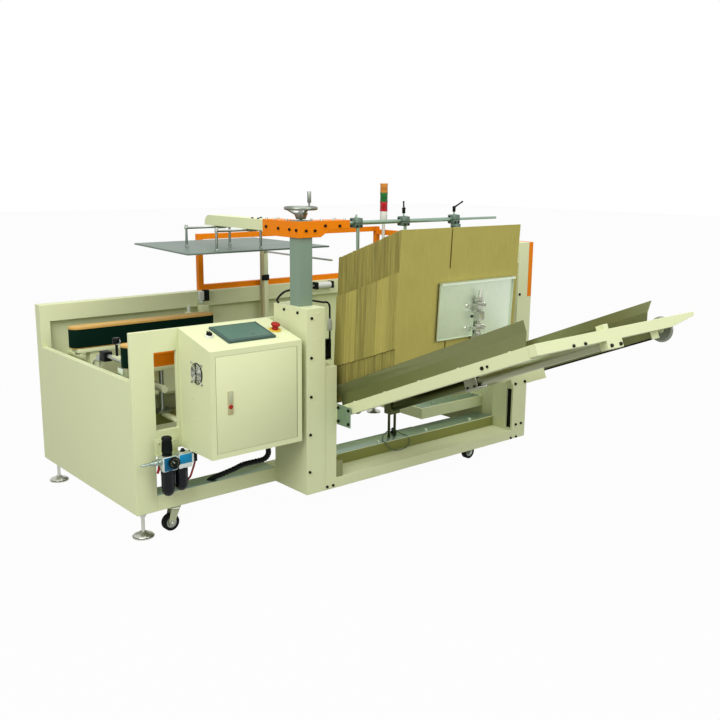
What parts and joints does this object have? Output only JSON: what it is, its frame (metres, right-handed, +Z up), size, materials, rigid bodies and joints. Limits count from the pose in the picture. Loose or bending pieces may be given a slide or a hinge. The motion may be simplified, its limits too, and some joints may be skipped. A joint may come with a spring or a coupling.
{
  "type": "case erector",
  "caption": "Carton case erector with a sloped blank magazine, a pressing head on a lift column, side belts, a control box, an air unit and a signal tower.",
  "frame": {"origin": "on the floor, under the middle of the machine's overall box", "axes": "+X along the body from the discharge end, +Y from the magazine towards the back wall, +Z up"},
  "size_m": [2.258, 2.442, 1.506],
  "materials": {
    "cream_paint": "satin powder coat",
    "orange_paint": "satin powder coat",
    "grey_steel": "satin",
    "zinc_steel": "zinc plated",
    "bright_metal": "satin",
    "dark_plastic": "matte",
    "red_plastic": "gloss",
    "lamp_plastic": "clear gloss",
    "tan_plastic": "matte",
    "belt_rubber": "matte",
    "wheel_rubber": "matte",
    "cardboard": "raw kraft"
  },
  "bodies": {
    "machine": {"end_panel": "cream_paint", "front_wall": "cream_paint", "back_wall": "cream_paint", "right_panel": "cream_paint", "base_frame": "cream_paint", "column": "cream_paint", "right_post": "cream_paint", "lift_column": "grey_steel", "control_box": "cream_paint", "hmi": "dark_plastic", "controls": "red_plastic", "fan_grille": "grey_steel", "air_unit": "dark_plastic", "guard": "orange_paint", "tower_pole": "bright_metal", "tower_lamps": "lamp_plastic", "rails": "cream_paint", "crossbar": "cream_paint", "guides": "zinc_steel", "pusher_tube": "zinc_steel", "blanks": "cardboard", "belts": "belt_rubber", "belt_cores": "tan_plastic", "belt_shafts": "zinc_steel", "inner_bar": "orange_paint", "deck": "cream_paint", "back_strip": "zinc_steel", "inner_shaft": "bright_metal", "feet": "zinc_steel"},
    "door": {"box_door": "cream_paint"},
    "head": {"arm": "orange_paint", "head_beam": "cream_paint", "press_plate": "zinc_steel", "hangers": "zinc_steel", "stop_rods": "zinc_steel"},
    "crank": {"handwheel": "bright_metal"},
    "push_carriage": {"pusher": "zinc_steel"},
    "set_knob": {"set_wheel": "bright_metal"},
    "swivel_1": {"fork_1": "zinc_steel"},
    "wheel_1": {"caster_1": "wheel_rubber"},
    "swivel_2": {"fork_2": "zinc_steel"},
    "wheel_2": {"caster_2": "wheel_rubber"},
    "swivel_3": {"fork_3": "zinc_steel"},
    "wheel_3": {"caster_3": "wheel_rubber"},
    "swivel_4": {"fork_4": "zinc_steel"},
    "wheel_4": {"caster_4": "wheel_rubber"}
  },
  "joints": [
    {"name": "door_hinge", "type": "hinge", "parent": "machine", "child": "door", "pos_m": [-0.479, -0.07051, 0.622], "axis": [0, 0, 1], "range_deg": [0, 105]},
    {"name": "head_lift", "type": "slide", "parent": "machine", "child": "head", "axis": [0, 0, 1], "range_m": [-0.22, 0]},
    {"name": "lift_crank", "type": "hinge", "parent": "machine", "child": "crank", "pos_m": [-0.355, 0.03899, 1.418], "axis": [0, 0, 1], "continuous": true},
    {"name": "pusher_slide", "type": "slide", "parent": "machine", "child": "push_carriage", "axis": [0, -0.9225, 0.3859], "range_m": [0, 0.6]},
    {"name": "set_turn", "type": "hinge", "parent": "machine", "child": "set_knob", "pos_m": [0.743, -1.10837, 0.91884], "axis": [1, 0, 0], "continuous": true},
    {"name": "caster_swivel_1", "type": "hinge", "parent": "machine", "child": "swivel_1", "pos_m": [-0.933, 0.21099, 0.116], "axis": [0, 0, 1], "continuous": true},
    {"name": "caster_roll_1", "type": "hinge", "parent": "swivel_1", "child": "wheel_1", "pos_m": [-0.957, 0.21099, 0.044], "axis": [0, 1, 0], "continuous": true},
    {"name": "caster_swivel_2", "type": "hinge", "parent": "machine", "child": "swivel_2", "pos_m": [0.863, 0.08899, 0.116], "axis": [0, 0, 1], "continuous": true},
    {"name": "caster_roll_2", "type": "hinge", "parent": "swivel_2", "child": "wheel_2", "pos_m": [0.839, 0.08899, 0.044], "axis": [0, 1, 0], "continuous": true},
    {"name": "caster_swivel_3", "type": "hinge", "parent": "machine", "child": "swivel_3", "pos_m": [-0.933, 1.19099, 0.116], "axis": [0, 0, 1], "continuous": true},
    {"name": "caster_roll_3", "type": "hinge", "parent": "swivel_3", "child": "wheel_3", "pos_m": [-0.957, 1.19099, 0.044], "axis": [0, 1, 0], "continuous": true},
    {"name": "caster_swivel_4", "type": "hinge", "parent": "machine", "child": "swivel_4", "pos_m": [0.975, 1.19099, 0.116], "axis": [0, 0, 1], "continuous": true},
    {"name": "caster_roll_4", "type": "hinge", "parent": "swivel_4", "child": "wheel_4", "pos_m": [0.951, 1.19099, 0.044], "axis": [0, 1, 0], "continuous": true}
  ]
}
